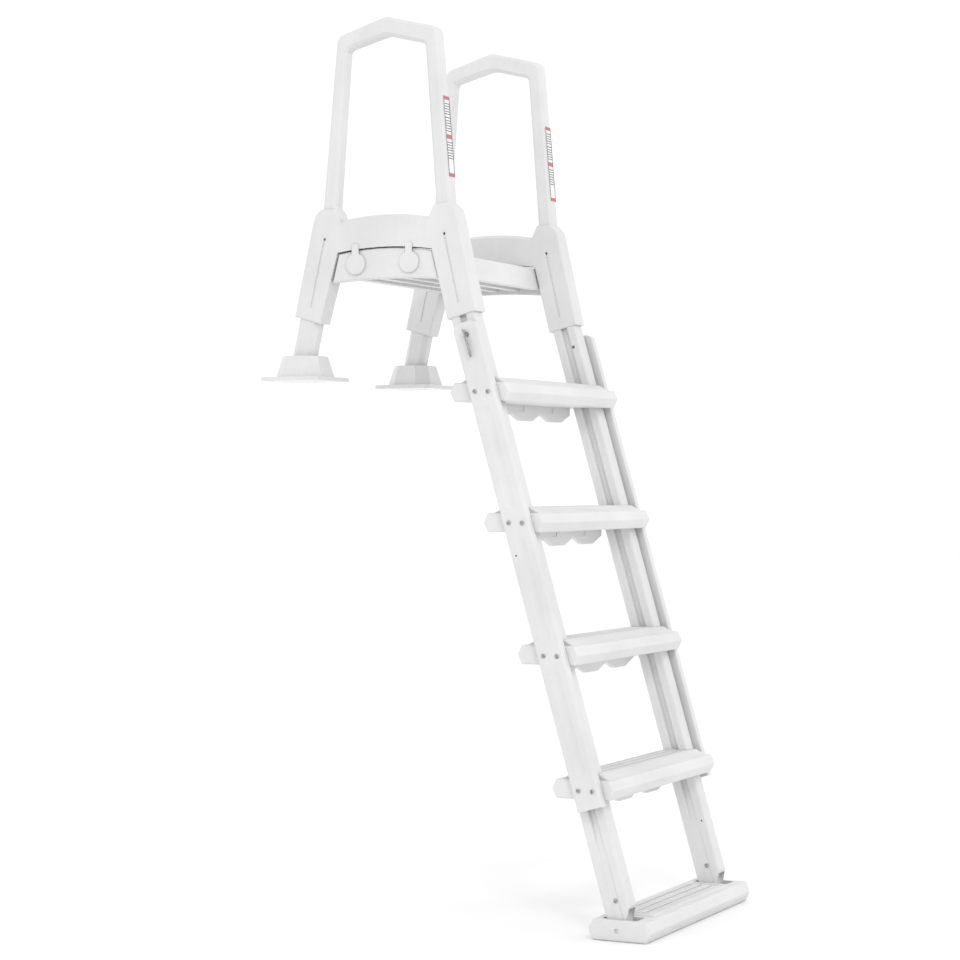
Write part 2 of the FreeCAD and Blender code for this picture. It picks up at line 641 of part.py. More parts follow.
def stringer(side):
    """Long side member that slides in the handrail's pool-side sleeve."""
    length = (STRINGER_TOP_Z - STRINGER_FOOT_Z) / COS_FRONT
    body = section_prism(stringer_section(), -FOOT_ALLOWANCE, length)
    body = body.fuse(groove_fill()).removeSplitter()
    lobe_v = (STRINGER_V - GROOVE_WIDTH) / 2
    for sign in (-1, 1):
        middle = sign * (GROOVE_WIDTH / 2 + lobe_v / 2)
        cavity = section_prism(
            rectangle(STRINGER_X / 2 - LOBE_WALL, lobe_v / 2 - LOBE_WALL, 3, 0, middle),
            CAVITY_START, length + 1)
        body = body.cut(cavity)
    body = on_stringer(body, side * SIDE_SPACING / 2, STRINGER_FOOT_Z)
    x = side * SIDE_SPACING / 2
    foot_y = stringer_y(STRINGER_FOOT_Z)
    body = body.cut(block(x - 60, x + 60, foot_y - 150, foot_y + 150, -100, STRINGER_FOOT_Z))
    toe_y = stringer_y(TOE_TOP_Z) - STRINGER_V / 2 / COS_FRONT
    toe = side_prism([(toe_y, TOE_TOP_Z, 0), (toe_y + TOE_TOP_Z * TOE_SLOPE, 0, 0),
                      (toe_y - 60, 0, 0), (toe_y - 60, TOE_TOP_Z, 0)], x - 60, x + 60)
    body = body.cut(toe)
    body = body.cut(tongue(side, TONGUE_GAP))
    for direction in (-1, 1):
        body = body.cut(foot_screw_hole(side, direction))
    drain = Vector(x - side * (STRINGER_X / 2 + 1), stringer_y(VIEW_HOLE_Z) - VIEW_HOLE_FORWARD, VIEW_HOLE_Z)
    body = body.cut(Part.makeCylinder(VIEW_HOLE_R, LOBE_WALL + 3, drain, Vector(side, 0, 0)))
    return body.cut(pin_slot(side)).cut(pin_view_hole(side))


def pin_centre():
    """Y and Z of the hitch pin, on the outer rail's own axis."""
    return Vector(0, stringer_y(PIN_Z) - RAIL_FORWARD, PIN_Z)


def pin_slot(side):
    """Adjusting slot in the outer wall of the stringer's front lobe."""
    radius = PIN_R + 1.0
    x_low = side * (SIDE_SPACING / 2 + STRINGER_X / 2 - LOBE_WALL - 6)
    x_high = side * (SIDE_SPACING / 2 + STRINGER_X / 2 + 2)
    low, high = sorted((x_low, x_high))
    bottom = -STRINGER_TRAVEL - CARRIAGE_DROP - SLOT_SPARE
    top = CARRIAGE_RISE + SLOT_SPARE
    slot = block(low, high, -radius, radius, bottom, top)
    for end in (bottom, top):
        slot = slot.fuse(Part.makeCylinder(radius, high - low, Vector(low, 0, end), Vector(1, 0, 0)))
    centre = pin_centre()
    return lean(slot, -FRONT_LEAN, 0, centre.y, centre.z)


def pin_view_hole(side):
    """Round hole in the stringer's inner face, opposite the hitch pin."""
    centre = pin_centre()
    x = side * (SIDE_SPACING / 2 - STRINGER_X / 2)
    start = Vector(x - side * 2, centre.y, centre.z)
    return Part.makeCylinder(PIN_R, LOBE_WALL + 6, start, Vector(side, 0, 0))


# ---- bottom tread ----
def tongue(side, gap):
    """Upright tongue of the bottom tread inside the stringer's foot, with a gap all round."""
    body = block(-TONGUE_HALF_X - gap, TONGUE_HALF_X + gap, -TONGUE_HALF_V - gap, TONGUE_HALF_V + gap,
                 -40, TONGUE_TOP + gap)
    return on_stringer(body, side * SIDE_SPACING / 2, STRINGER_FOOT_Z)


def foot_screw_seat(side, direction):
    """Seat of a foot screw, on the stringer's face that looks along -direction."""
    x = side * SIDE_SPACING / 2 - direction * STRINGER_X / 2
    return Vector(x, stringer_y(FOOT_SCREW_Z) - FOOT_SCREW_FORWARD, FOOT_SCREW_Z)


def foot_screw_hole(side, direction):
    """Hole for a foot screw."""
    hole = screw_hole(FOOT_SCREW_LENGTH, direction)
    hole.translate(foot_screw_seat(side, direction))
    return hole


def foot_screws():
    """Screws from both faces of each stringer into the bottom tread's tongues."""
    screws = []
    for side in SIDES.values():
        for direction in (-1, 1):
            screw = pan_screw(FOOT_SCREW_LENGTH, direction)
            screw.translate(foot_screw_seat(side, direction))
            screws.append(screw)
    return Part.makeCompound(screws)


def tread_bar(half_x, half_y, half_z, nose, corner):
    """Six-sided bar along X, its plan corners cut by the corner size."""
    outline = [
        (-half_y, 0, BAR_ROUND), (-half_y + nose, -half_z, BAR_ROUND), (half_y - nose, -half_z, BAR_ROUND),
        (half_y, 0, BAR_ROUND), (half_y - nose, half_z, BAR_ROUND), (-half_y + nose, half_z, BAR_ROUND),
    ]
    bar = side_prism(outline, -half_x, half_x)
    plan = section_prism(rectangle(half_x, half_y + 2, corner), -half_z - 5, half_z + 5)
    return bevelled(bar, TREAD_BEVEL, -half_x, half_x).common(plan)


def grip_pad(half_x, half_y, low, high, slope, grip_x, pitch):
    """Raised walking surface with three grooves along X, and two slots past each end of them."""
    pad = side_prism([(-half_y, low, 0), (half_y, low, 0), (half_y - slope, high, 3),
                      (-half_y + slope, high, 3)], -half_x, half_x)
    pad = bevelled(pad, 2.0, -half_x, half_x)
    for row in (-1, 0, 1):
        y = row * pitch + GRIP_SHIFT
        pad = pad.cut(block(-grip_x, grip_x, y - GRIP_LINE / 2, y + GRIP_LINE / 2,
                            high - GRIP_LINE_DEPTH, high + 1))
    for sign in (-1, 1):
        for step in END_SLOT_STEPS:
            x = sign * (grip_x + step)
            pad = pad.cut(block(x - END_SLOT / 2, x + END_SLOT / 2, GRIP_SHIFT - pitch * 1.4,
                                GRIP_SHIFT + pitch * 1.1, high - END_SLOT_DEPTH, high + 1))
    return pad


def stringer_window(side):
    """Space that the stringer takes as it passes through a tread."""
    half_x = STRINGER_X / 2 + SLOT_CLEAR
    half_v = STRINGER_V / 2 + SLOT_CLEAR
    shape = section_prism(rectangle(half_x, half_v, 5), -200, 200)
    return lean(shape, -FRONT_LEAN, side * SIDE_SPACING / 2, 0, 0)


def fin():
    """Stiffening fin under a tread, with a row of half-octagon lobes and a recess in each."""
    half = FIN_LOBES * FIN_LOBE_PITCH / 2
    flat = FIN_LOBE_FLAT / 2
    centres = [(i - (FIN_LOBES - 1) / 2) * FIN_LOBE_PITCH for i in range(FIN_LOBES)]
    points = [(half, 2 - TREAD_HALF_Z), (-half, 2 - TREAD_HALF_Z), (-half, FIN_WEB_Z)]
    for centre in centres:
        points.append((centre - flat, FIN_LOBE_Z))
        points.append((centre + flat, FIN_LOBE_Z))
        points.append((centre + FIN_LOBE_PITCH / 2, FIN_WEB_Z))
    front = FIN_Y - FIN_THICK / 2
    wire = Part.makePolygon([Vector(x, front, z) for x, z in points + points[:1]])
    plate = Part.Face(wire).extrude(Vector(0, FIN_THICK, 0))
    plate = plate.makeFillet(2.0, [e for e in plate.Edges if e.BoundBox.ZMax < FIN_WEB_Z + 1e-3
                                   and abs(e.BoundBox.YMax - e.BoundBox.YMin) < 1e-3])
    for centre in centres:
        x = centre + FIN_WINDOW_OFFSET
        window = block(x - FIN_WINDOW_HALF_X, x + FIN_WINDOW_HALF_X, front - 1, front + FIN_WINDOW_DEPTH,
                       FIN_WINDOW_SPAN_Z[0], FIN_WINDOW_SPAN_Z[1])
        plate = plate.cut(window)
    return plate


def tread(index):
    """One tread of the carriage; each end has a window that the stringer passes through."""
    bar = tread_bar(TREAD_HALF_X, TREAD_HALF_Y, TREAD_HALF_Z, TREAD_NOSE, TREAD_CORNER)
    pad = grip_pad(RAISE_HALF_X, TREAD_HALF_Y - TREAD_NOSE - 1, TREAD_HALF_Z - 3,
                   TREAD_HALF_Z + TREAD_RAISE, RAISE_SLOPE, TREAD_GRIP_HALF_X, TREAD_GRIP_PITCH)
    body = bar.fuse([pad, fin()]).removeSplitter()
    body.translate(Vector(0, TREAD_BACK, 0))
    for side in SIDES.values():
        body = body.cut(stringer_window(side))
        for y in pad_screw_offsets():
            start = Vector(side * (TREAD_HALF_X + 1), y, 0)
            body = body.cut(Part.makeCylinder(SCREW_HOLE_R, 12, start, Vector(-side, 0, 0)))
    z = tread_z(index)
    body.translate(Vector(0, stringer_y(z), z))
    return body


def tread_z(index):
    """Middle height of a tread, counted from the top."""
    return TREAD_TOP_Z - index * TREAD_PITCH


def pad_screw_offsets():
    """Y of a pad's two screws from the stringer axis."""
    return (-RAIL_FORWARD - PAD_SCREW_SPACING / 2, -RAIL_FORWARD + PAD_SCREW_SPACING / 2)


def bottom_tread():
    """Ballast tread on the pool floor, with a pocket and a tongue for each stringer."""
    half_z = BASE_HEIGHT / 2
    bar = tread_bar(BASE_HALF_X, BASE_HALF_Y, half_z, BASE_NOSE, BASE_CORNER)
    pad = grip_pad(BASE_PAD_HALF_X, BASE_PAD_HALF_Y, half_z - BASE_PAD_RAISE, half_z + BASE_PAD_RAISE,
                   BASE_PAD_SLOPE, BASE_GRIP_HALF_X, BASE_GRIP_PITCH)
    body = bar.fuse(pad).removeSplitter()
    body.translate(Vector(0, BASE_Y, half_z))
    for side in SIDES.values():
        x = side * SIDE_SPACING / 2
        floor = STRINGER_FOOT_Z
        y_rear = stringer_y(BASE_HEIGHT) + STRINGER_V / 2 / COS_FRONT + BASE_POCKET_REAR
        y_front = stringer_y(floor) - STRINGER_V / 2 / COS_FRONT - 1
        half = STRINGER_X / 2 + 1.0
        pocket = section_prism(
            rectangle(half, (y_rear - y_front) / 2, 5, x, (y_rear + y_front) / 2), floor, BASE_HEIGHT + 10)
        body = body.cut(pocket)
        root = tongue(side, 0.0).common(block(x - 50, x + 50, -900, 0, floor - 4, 200))
        body = body.fuse(root)
        end = Vector(side * (BASE_HALF_X + 1), BASE_Y + FILL_PLUG_BACK, half_z)
        body = body.cut(Part.makeCylinder(FILL_PLUG_R, 4, end, Vector(-side, 0, 0)))
        for direction in (-1, 1):
            body = body.cut(foot_screw_hole(side, direction))
    return body.removeSplitter()


# ---- outer rails ----
def spoon_groove(x_face, low, high):
    """Shallow round-bottomed groove in an X face, from one height to another, with round ends."""
    half = RAIL_GROOVE_WIDTH / 2
    radius = (half ** 2 + RAIL_GROOVE_DEPTH ** 2) / (2 * RAIL_GROOVE_DEPTH)
    centre_x = x_face + radius - RAIL_GROOVE_DEPTH
    start = Vector(centre_x, 0, low + half)
    end = Vector(centre_x, 0, high - half)
    bar = Part.makeCylinder(radius, end.z - start.z, start, Vector(0, 0, 1))
    return bar.fuse([Part.makeSphere(radius, start), Part.makeSphere(radius, end)])


def outer_rail(side):
    """Flat rail outside the stringer that ties the treads together."""
    top = (RAIL_TOP_Z - RAIL_BOTTOM_Z) / COS_FRONT
    half_v = RAIL_V / 2
    x_in = TREAD_HALF_X
    x_out = RAIL_X
    body = section_prism(
        [(x_in, -half_v, 3), (x_out, -half_v, 6), (x_out, half_v, 6), (x_in, half_v, 3)], 0, top)
    crown = side_prism([(-half_v, -5, 0), (half_v, -5, 0), (half_v, top, RAIL_CROWN_ROUND),
                        (-half_v, top, RAIL_CROWN_ROUND)], x_in - 1, x_out + 1)
    body = body.common(crown)
    levels = sorted((tread_z(i) - RAIL_BOTTOM_Z) / COS_FRONT for i in range(TREAD_COUNT))
    for lower, upper in zip(levels, levels[1:]):
        body = body.cut(spoon_groove(x_out, lower + PAD_LENGTH / 2, upper - PAD_LENGTH / 2))
    hollow = section_prism(
        rectangle(RAIL_THICK / 2 - RAIL_FOOT_WALL, half_v - RAIL_FOOT_WALL, 3, (x_in + x_out) / 2, 0),
        -1, RAIL_FOOT_HOLLOW)
    body = body.cut(hollow)
    body = lean(body, -FRONT_LEAN, 0, stringer_y(RAIL_BOTTOM_Z) - RAIL_FORWARD, RAIL_BOTTOM_Z)
    for index in range(TREAD_COUNT):
        z = tread_z(index)
        for y in pad_screw_offsets():
            start = Vector(x_in - 1, stringer_y(z) + y, z)
            body = body.cut(Part.makeCylinder(SCREW_HOLE_R, RAIL_THICK + 2, start, Vector(1, 0, 0)))
    centre = pin_centre()
    body = body.cut(Part.makeCylinder(PIN_HOLE_R, RAIL_THICK + 2, Vector(x_in - 1, centre.y, centre.z),
                                      Vector(1, 0, 0)))
    vent_z = (tread_z(1) + tread_z(2)) / 2 + VENT_RISE
    vent = Vector(x_out + 1, stringer_y(vent_z) - RAIL_FORWARD + VENT_BACK, vent_z)
    body = body.cut(Part.makeCylinder(VENT_R, 8, vent, Vector(-1, 0, 0)))
    return body if side > 0 else mirrored(body)


def tread_screws(side):
    """Screws through the outer rail's pads into the ends of the treads."""
    screws = []
    for index in range(TREAD_COUNT):
        z = tread_z(index)
        for y in pad_screw_offsets():
            screw = pan_screw(RAIL_THICK + 7, -side)
            screw.translate(Vector(side * RAIL_X, stringer_y(z) + y, z))
            screws.append(screw)
    return Part.makeCompound(screws)


# ---- hitch pins and clips ----
def hitch_pin(side):
    """Steel pin through the outer rail into the stringer's slot, cross-drilled for its clip."""
    centre = pin_centre()
    tip_x = SIDE_SPACING / 2 + STRINGER_X / 2 - LOBE_WALL - 3
    outer_x = RAIL_X + PIN_OUT
    pin = Part.makeCylinder(PIN_R, outer_x - tip_x, Vector(tip_x, centre.y, centre.z), Vector(1, 0, 0))
    pin = pin.makeChamfer(0.8, edges_at_x(pin, tip_x, outer_x))
    collar = Part.makeCylinder(PIN_R + 2, 1.5, Vector(RAIL_X + FACE_GAP, centre.y, centre.z), Vector(1, 0, 0))
    pin = pin.fuse(collar).removeSplitter()
    hole = Part.makeCylinder(CLIP_HOLE_R, 40, Vector(0, 0, -20))
    pin = pin.cut(lean(hole, -FRONT_LEAN, clip_x(), centre.y, centre.z))
    return pin if side > 0 else mirrored(pin)


def clip_x():
    """X of the clip's straight leg."""
    return RAIL_X + PIN_OUT - 4.0


def wire_run(corners, radius, x, origin):
    """Round wire through plane (x, z, bend radius) corners, tipped onto the stringer's line."""
    path = open_path(corners, lambda p: Vector(p.x, 0, p.y))
    start = path.Vertexes[0].Point
    direction = path.Edges[0].tangentAt(path.Edges[0].FirstParameter)
    circle = Part.Wire([Part.makeCircle(radius, start, direction)])
    return lean(path.makePipeShell([circle], True, False), -FRONT_LEAN, x, origin.y, origin.z)


def hairpin_clip(side):
    """Spring clip: a straight leg through the pin and a bowed leg over the pin's end."""
    tip = CLIP_BOW + 2
    corners = [
        (0, 11, 0), (0, -CLIP_LENGTH, 3), (6, -CLIP_LENGTH, 3), (6, -16, 12),
        (CLIP_BOW, -5, 10), (CLIP_BOW, 5, 8), (tip, 12, 0),
    ]
    clip = wire_run(corners, CLIP_WIRE_R, clip_x(), pin_centre())
    return clip if side > 0 else mirrored(clip)


def export(name, shape):
    """Write one node, moved so that the ladder's middle is at Y = 0."""
    placed = shape.copy()
    placed.translate(Vector(0, ORIGIN_SHIFT, 0))
    placed.exportStep("parts/" + name + ".step")
    box = placed.BoundBox
    print("%-24s solids %2d valid %s volume %9.0f box %s" % (
        name, len(placed.Solids), placed.isValid(), placed.Volume,
        [round(v, 1) for v in (box.XMin, box.XMax, box.YMin, box.YMax, box.ZMin, box.ZMax)]))


def build_all():
    """Every node of the ladder by name."""
    nodes = {}
    for name, side in SIDES.items():
        nodes["handrail_" + name] = handrail(side)
        nodes["safety_label_" + name] = label(side)
        nodes["deck_leg_" + name] = deck_leg(side)
        nodes["deck_flange_" + name] = deck_flange(side)
        nodes["stringer_" + name] = stringer(side)
        nodes["outer_rail_" + name] = outer_rail(side)
        nodes["tread_screws_" + name] = tread_screws(side)
        nodes["hitch_pin_" + name] = hitch_pin(side)
        nodes["hairpin_clip_" + name] = hairpin_clip(side)
        for place, y in zip(("rear", "front"), LATCH_Y):
            nodes["latch_%s_%s" % (name, place)] = latch(side, y)
        x = side * SIDE_SPACING / 2
        nodes["platform_dowels_" + name] = Part.makeCompound([dowel(x, -1), dowel(x, 1)])
    nodes["leg_screws"] = Part.makeCompound([leg_screw(side) for side in SIDES.values()])
    nodes["top_platform"] = platform()
    nodes["bottom_tread"] = bottom_tread()
    nodes["foot_screws"] = foot_screws()
    for index in range(TREAD_COUNT):
        nodes["tread_%d" % (index + 1)] = tread(index)
    return nodes


os.makedirs("parts", exist_ok=True)
NODES = build_all()
for node_name, node_shape in sorted(NODES.items()):
    export(node_name, node_shape)
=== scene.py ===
import json
import math

import bmesh
import bpy
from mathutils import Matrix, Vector


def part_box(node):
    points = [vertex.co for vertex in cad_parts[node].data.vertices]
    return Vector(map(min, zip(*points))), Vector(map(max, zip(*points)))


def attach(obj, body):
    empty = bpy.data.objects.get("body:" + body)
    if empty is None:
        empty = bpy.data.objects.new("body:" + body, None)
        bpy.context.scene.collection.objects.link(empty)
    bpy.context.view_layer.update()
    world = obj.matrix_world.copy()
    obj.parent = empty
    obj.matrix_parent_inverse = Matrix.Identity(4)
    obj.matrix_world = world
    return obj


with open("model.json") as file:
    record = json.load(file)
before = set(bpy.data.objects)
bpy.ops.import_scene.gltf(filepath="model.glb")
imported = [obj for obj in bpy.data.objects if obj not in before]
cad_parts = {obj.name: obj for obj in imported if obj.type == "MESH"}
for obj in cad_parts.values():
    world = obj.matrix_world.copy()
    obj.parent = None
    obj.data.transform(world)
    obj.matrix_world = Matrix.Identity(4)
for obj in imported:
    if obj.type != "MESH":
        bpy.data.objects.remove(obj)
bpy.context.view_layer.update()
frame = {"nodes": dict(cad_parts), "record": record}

# In-pool ladder. Metres, +Z up, pool floor at Z = 0, X across the ladder, the pool towards -Y.
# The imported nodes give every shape; this script adds moulded detail, materials, light and camera.

# ---- places taken from the frame ----
RAIL_LOW, RAIL_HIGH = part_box("handrail_left")
RAIL_MIDDLE_Y = (RAIL_LOW.y + RAIL_HIGH.y) / 2
RAIL_OUTER_X = -RAIL_LOW.x
SIDES = {"left": -1, "right": 1}
TREADS = ("tread_1", "tread_2", "tread_3", "tread_4")

# ---- sizes of moulded detail ----
TREAD_GRIP_HALF_X = 0.204
TREAD_GRIP_HALF_Y = 0.031
TREAD_GRIP_PITCH = 0.020
BASE_GRIP_HALF_X = 0.193
BASE_GRIP_HALF_Y = 0.045
BASE_GRIP_PITCH = 0.025
GRIP_SHIFT = 0.006            # long grooves lie this far behind the pad's middle
GRIP_GROOVE_HALF = 0.003
RIB_PITCH = 0.0075
RIB_WIDTH = 0.0034
RIB_HEIGHT = 0.0011
RIB_SINK = 0.0001             # ribs start this far under the surface
RIB_STEPS = 6                 # faces across a rib
RIB_END_RUN = 0.8 * RIB_WIDTH
RIB_END_MARGIN = 0.002        # from the edge of a walking surface
GROOVE_MARGIN = 0.001         # from a tread's groove
PLATFORM_GROOVE_MARGIN = 0.0015
LEAST_BAND = 0.004            # narrower bands carry no ribs
BASE_PAD_TOP = 0.048
PLATFORM_CHORD = 0.235
PLATFORM_CROWN = 0.010
SLIT_TOP_Y = 0.1525           # from the handrail's middle
SLIT_TOP_Z = 1.528
SLIT_RING_R = 0.0078
RING_STEPS = 40
RING_PROFILE = ((-0.0016, 0.0), (-0.0008, 0.0007), (0.0008, 0.0007), (0.0016, 0.0))   # radius, height
SLEEVE_WIDTH = 0.049
PLATFORM_GRIP_HALF_X = 0.229
PLATFORM_GRIP_PITCH = 0.028
PLATFORM_GRIP_ROWS = 7
PLATFORM_GROOVE_HALF = 0.0025
EDGE_SOFTNESS = 0.0012        # bevel on the moulded parts' edges
EDGE_SEGMENTS = 2
EDGE_ANGLE = math.radians(32)

# ---- printed marks: spans are shares of the decal's height, from its top ----
LABEL_THICK = 0.0006
LABEL_BORDER = 0.0026
LABEL_INSET = 0.0035
LABEL_RULE = (0.262, 0.272)
LABEL_LINE_GROUPS = ((0.09, 0.25, 5), (0.30, 0.46, 5), (0.57, 0.80, 7))   # start, stop, lines
LABEL_LINE_SHARE = 0.3        # inked share of a line's pitch
LABEL_RED_SPANS = ((0.0, 0.045), (0.475, 0.53), (0.955, 1.0))
INK_GAP = 0.0002
INK_THICK = 0.0001

# ---- camera, from the handrails' middle ----
CAMERA_OFFSET = Vector((-5.1009, -2.6386, 0.983))
CAMERA_TURN = math.radians(26.5)
CAMERA_LENS = 91.875

# ---- studio ----
FLOOR_SIZE = 60
FLOOR_DROP = 0.0005
SURROUND_STRENGTH = 1.06
LIGHT_AIM = Vector((0, 0, 1.0))
LIGHT_SIZE = 1.2
LIGHTS = (("key", (-4.2, -3.2, 4.4), 55), ("rim", (3.0, -4.0, 3.2), 16))   # name, place, watts


# ---- node helpers ----
MIX_FACTOR, MIX_A, MIX_B, MIX_RESULT = 0, 6, 7, 2    # a mix node's sockets for colour


def new_material(name):
    """Empty node material with an output; returns the material and a node maker."""
    material = bpy.data.materials.new(name)
    material.use_nodes = True
    tree = material.node_tree
    tree.nodes.clear()

    def make(kind, **settings):
        node = tree.nodes.new(kind)
        for key, value in settings.items():
            if key in node.inputs:
                node.inputs[key].default_value = value
            else:
                setattr(node, key, value)
        return node

    return material, make


def ramp(make, low, high, dark, light):
    """Colour ramp between two greys or colours."""
    node = make("ShaderNodeValToRGB")
    node.color_ramp.elements[0].position = low
    node.color_ramp.elements[0].color = (*dark, 1)
    node.color_ramp.elements[1].position = high
    node.color_ramp.elements[1].color = (*light, 1)
    return node


def stretched(make, link, scale):
    """Object coordinates stretched by a scale on each axis."""
    place = make("ShaderNodeTexCoord")
    mapping = make("ShaderNodeMapping")
    mapping.inputs["Scale"].default_value = scale
    link(place.outputs["Object"], mapping.inputs["Vector"])
    return mapping.outputs["Vector"]


# ---- materials ----
STREAK_SHARE = 0.3            # strength of the flow streaks beside the clouding
GLOSS_SPREAD = 0.07
UPRIGHT_FLOW = (1, 1, 0.06)   # streaks run along the axis with the small scale
CROSS_FLOW = (0.06, 1, 1)


def moulded_plastic(name, dark, light, roughness, grain, flow):
    """Polyethylene: cloudy colour, flow streaks, painted shade darkening the colour in corners and
    recesses, uneven skin and fine grain.
    """
    material, make = new_material(name)
    link = material.node_tree.links.new
    even = stretched(make, link, (1, 1, 1))
    along = stretched(make, link, flow)

    cloud = make("ShaderNodeTexNoise", Scale=6.0, Detail=4.0, Roughness=0.55)
    link(even, cloud.inputs["Vector"])
    streak = make("ShaderNodeTexNoise", Scale=55.0, Detail=3.0, Roughness=0.6)
    link(along, streak.inputs["Vector"])
    tone = make("ShaderNodeMath", operation="MULTIPLY_ADD")
    tone.inputs[1].default_value = STREAK_SHARE
    link(streak.outputs["Fac"], tone.inputs[0])
    link(cloud.outputs["Fac"], tone.inputs[2])
    colour = ramp(make, 0.45, 0.85, dark, light)
    link(tone.outputs["Value"], colour.inputs["Fac"])

    # painted shade: ambient occlusion darkens the base colour in corners, creases and recesses
    painted_corner_shade = make("ShaderNodeAmbientOcclusion", samples=6, Distance=0.03)
    shade = ramp(make, 0.1, 0.85, (0.84, 0.84, 0.85), (1, 1, 1))
    link(painted_corner_shade.outputs["AO"], shade.inputs["Fac"])
    both = make("ShaderNodeMix", data_type="RGBA", blend_type="MULTIPLY")
    both.inputs[MIX_FACTOR].default_value = 1.0
    link(colour.outputs["Color"], both.inputs[MIX_A])
    link(shade.outputs["Color"], both.inputs[MIX_B])

    fine = make("ShaderNodeTexNoise", Scale=900.0, Detail=2.0)
    link(even, fine.inputs["Vector"])
    gloss = make("ShaderNodeMapRange")
    gloss.inputs["To Min"].default_value = roughness - GLOSS_SPREAD
    gloss.inputs["To Max"].default_value = roughness + GLOSS_SPREAD
    link(fine.outputs["Fac"], gloss.inputs["Value"])

    wave = make("ShaderNodeTexNoise", Scale=26.0, Detail=2.0)
    link(even, wave.inputs["Vector"])
    skin = make("ShaderNodeBump", Strength=0.25, Distance=0.0016)
    link(wave.outputs["Fac"], skin.inputs["Height"])
    grit = make("ShaderNodeBump", Strength=grain, Distance=0.0002)
    link(fine.outputs["Fac"], grit.inputs["Height"])
    link(skin.outputs["Normal"], grit.inputs["Normal"])

    shader = make("ShaderNodeBsdfPrincipled")
    link(both.outputs[MIX_RESULT], shader.inputs["Base Color"])
    link(gloss.outputs["Result"], shader.inputs["Roughness"])
    link(grit.outputs["Normal"], shader.inputs["Normal"])
    shader.inputs["IOR"].default_value = 1.5
    out = make("ShaderNodeOutputMaterial")
    link(shader.outputs["BSDF"], out.inputs["Surface"])
    return material


def steel():
    """Stainless steel with fine turned lines and slight stains."""
    material, make = new_material("stainless_steel")
    link = material.node_tree.links.new
    even = stretched(make, link, (1, 1, 1))
    lines = make("ShaderNodeTexNoise", Scale=1500.0, Detail=3.0)
    link(stretched(make, link, (1, 0.12, 1)), lines.inputs["Vector"])
    stain = make("ShaderNodeTexNoise", Scale=220.0, Detail=4.0)
    link(even, stain.inputs["Vector"])
    colour = ramp(make, 0.35, 0.7, (0.30, 0.30, 0.31), (0.56, 0.56, 0.57))
    link(stain.outputs["Fac"], colour.inputs["Fac"])
    gloss = make("ShaderNodeMapRange")
    gloss.inputs["To Min"].default_value = 0.22
    gloss.inputs["To Max"].default_value = 0.42
    link(lines.outputs["Fac"], gloss.inputs["Value"])
    scratch = make("ShaderNodeBump", Strength=0.3, Distance=0.00006)
    link(lines.outputs["Fac"], scratch.inputs["Height"])
    shader = make("ShaderNodeBsdfPrincipled", Metallic=1.0)
    link(colour.outputs["Color"], shader.inputs["Base Color"])
    link(gloss.outputs["Result"], shader.inputs["Roughness"])
    link(scratch.outputs["Normal"], shader.inputs["Normal"])
    out = make("ShaderNodeOutputMaterial")
    link(shader.outputs["BSDF"], out.inputs["Surface"])
    return material


def printed(name, colour_a, colour_b):
    """Printed vinyl film: slightly mottled ink under a soft gloss."""
    material, make = new_material(name)
    link = material.node_tree.links.new
    even = stretched(make, link, (1, 1, 1))
    ink = make("ShaderNodeTexNoise", Scale=420.0, Detail=3.0)
    link(even, ink.inputs["Vector"])
    colour = ramp(make, 0.3, 0.75, colour_a, colour_b)
    link(ink.outputs["Fac"], colour.inputs["Fac"])
    ripple = make("ShaderNodeBump", Strength=0.2, Distance=0.0002)
    link(ink.outputs["Fac"], ripple.inputs["Height"])
    shader = make("ShaderNodeBsdfPrincipled", Roughness=0.32)
    link(colour.outputs["Color"], shader.inputs["Base Color"])
    link(ripple.outputs["Normal"], shader.inputs["Normal"])
    out = make("ShaderNodeOutputMaterial")
    link(shader.outputs["BSDF"], out.inputs["Surface"])
    return material


def studio_floor():
    """Pale floor with a barely visible mottle."""
    material, make = new_material("studio_floor")
    link = material.node_tree.links.new
    even = stretched(make, link, (1, 1, 1))
    mottle = make("ShaderNodeTexNoise", Scale=3.0, Detail=3.0)
    link(even, mottle.inputs["Vector"])
    colour = ramp(make, 0.3, 0.7, (0.93, 0.93, 0.93), (0.95, 0.95, 0.95))
    link(mottle.outputs["Fac"], colour.inputs["Fac"])
    shader = make("ShaderNodeBsdfPrincipled", Roughness=0.8)
    link(colour.outputs["Color"], shader.inputs["Base Color"])
    out = make("ShaderNodeOutputMaterial")
    link(shader.outputs["BSDF"], out.inputs["Surface"])
    return material


FRAME_PLASTIC = moulded_plastic("frame_plastic", (0.66, 0.66, 0.665), (0.73, 0.73, 0.73), 0.42, 0.2,
                                UPRIGHT_FLOW)
TREAD_PLASTIC = moulded_plastic("tread_plastic", (0.67, 0.67, 0.675), (0.74, 0.74, 0.74), 0.45, 0.3,
                                CROSS_FLOW)
DECK_PLASTIC = moulded_plastic("deck_plastic", (0.66, 0.66, 0.67), (0.72, 0.72, 0.725), 0.16, 0.05,
                               UPRIGHT_FLOW)
STEEL = steel()
FILM = printed("film_white", (0.80, 0.80, 0.79), (0.88, 0.88, 0.87))
RED_INK = printed("film_red", (0.55, 0.08, 0.10), (0.68, 0.13, 0.15))
GREY_INK = printed("film_grey", (0.02, 0.02, 0.022), (0.05, 0.05, 0.055))


# ---- mesh helpers ----
def add_piece(name, mesh, material, body):
    """A new piece of the object that rides on a body."""
    piece = bpy.data.objects.new(name, mesh)
    bpy.context.scene.collection.objects.link(piece)
    piece.data.materials.append(material)
    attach(piece, body)
    return piece


